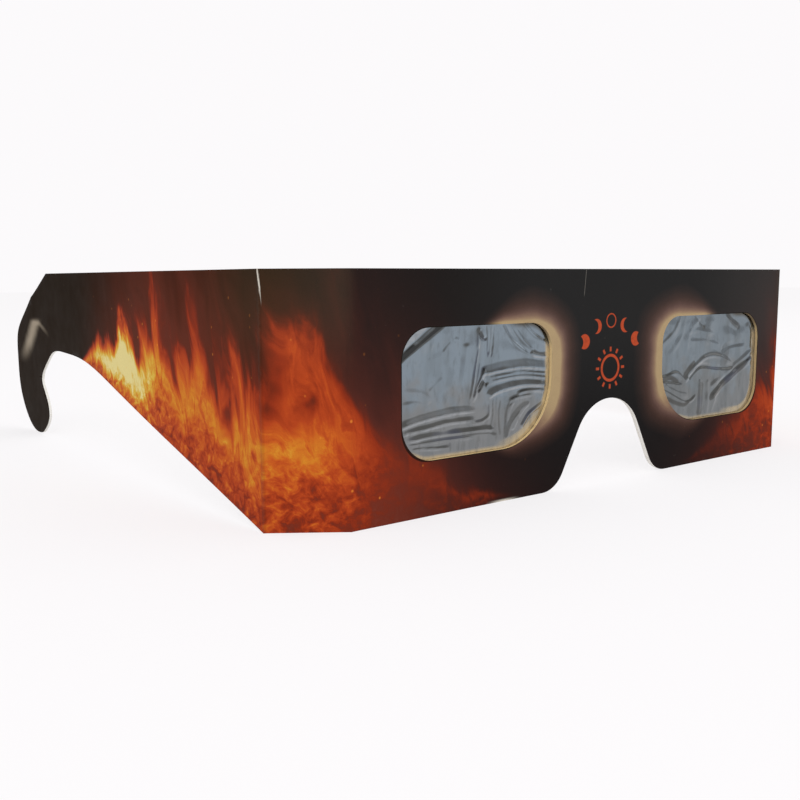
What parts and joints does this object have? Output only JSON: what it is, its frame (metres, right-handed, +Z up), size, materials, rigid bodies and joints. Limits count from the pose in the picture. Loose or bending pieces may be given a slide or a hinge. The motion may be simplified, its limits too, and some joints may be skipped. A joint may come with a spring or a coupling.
{
  "type": "eclipse glasses",
  "caption": "Folding card eclipse glasses: printed front with creased side returns, temples with round ear hooks, mirrored solar films behind the eye openings.",
  "frame": {"origin": "on the table under the middle of the pair, standing open as worn", "axes": "+Z up, the printed front faces -Y, the temples run back along +Y, +X to the right of someone who looks at the printed front"},
  "size_m": [0.144, 0.149, 0.042],
  "materials": {
    "printed_card": "gloss print outside, plain white inside",
    "plain_card": "matte",
    "solar_film": "wrinkled metal-coated film",
    "glue": "dry clear glue"
  },
  "bodies": {
    "front": {"front_panel": "printed_card", "liner_card": "plain_card", "liner_glue": "glue", "film_left": "solar_film", "film_right": "solar_film", "film_glue_left": "glue", "film_glue_right": "glue"},
    "return_left": {"side_return_left": "printed_card"},
    "return_right": {"side_return_right": "printed_card"},
    "temple_arm_left": {"temple_left": "printed_card"},
    "temple_arm_right": {"temple_right": "printed_card"}
  },
  "joints": [
    {"name": "front_fold_left", "type": "hinge", "parent": "front", "child": "return_left", "pos_m": [-0.06035, -0.07418, 0], "axis": [0, 0, -1], "range_deg": [-35, 13]},
    {"name": "front_fold_right", "type": "hinge", "parent": "front", "child": "return_right", "pos_m": [0.06035, -0.07418, 0], "axis": [0, 0, 1], "range_deg": [-35, 13]},
    {"name": "temple_fold_left", "type": "hinge", "parent": "return_left", "child": "temple_arm_left", "pos_m": [-0.07165, -0.06627, 0], "axis": [0, 0, -1], "range_deg": [-55, 15]},
    {"name": "temple_fold_right", "type": "hinge", "parent": "return_right", "child": "temple_arm_right", "pos_m": [0.07165, -0.06627, 0], "axis": [0, 0, 1], "range_deg": [-55, 15]}
  ]
}
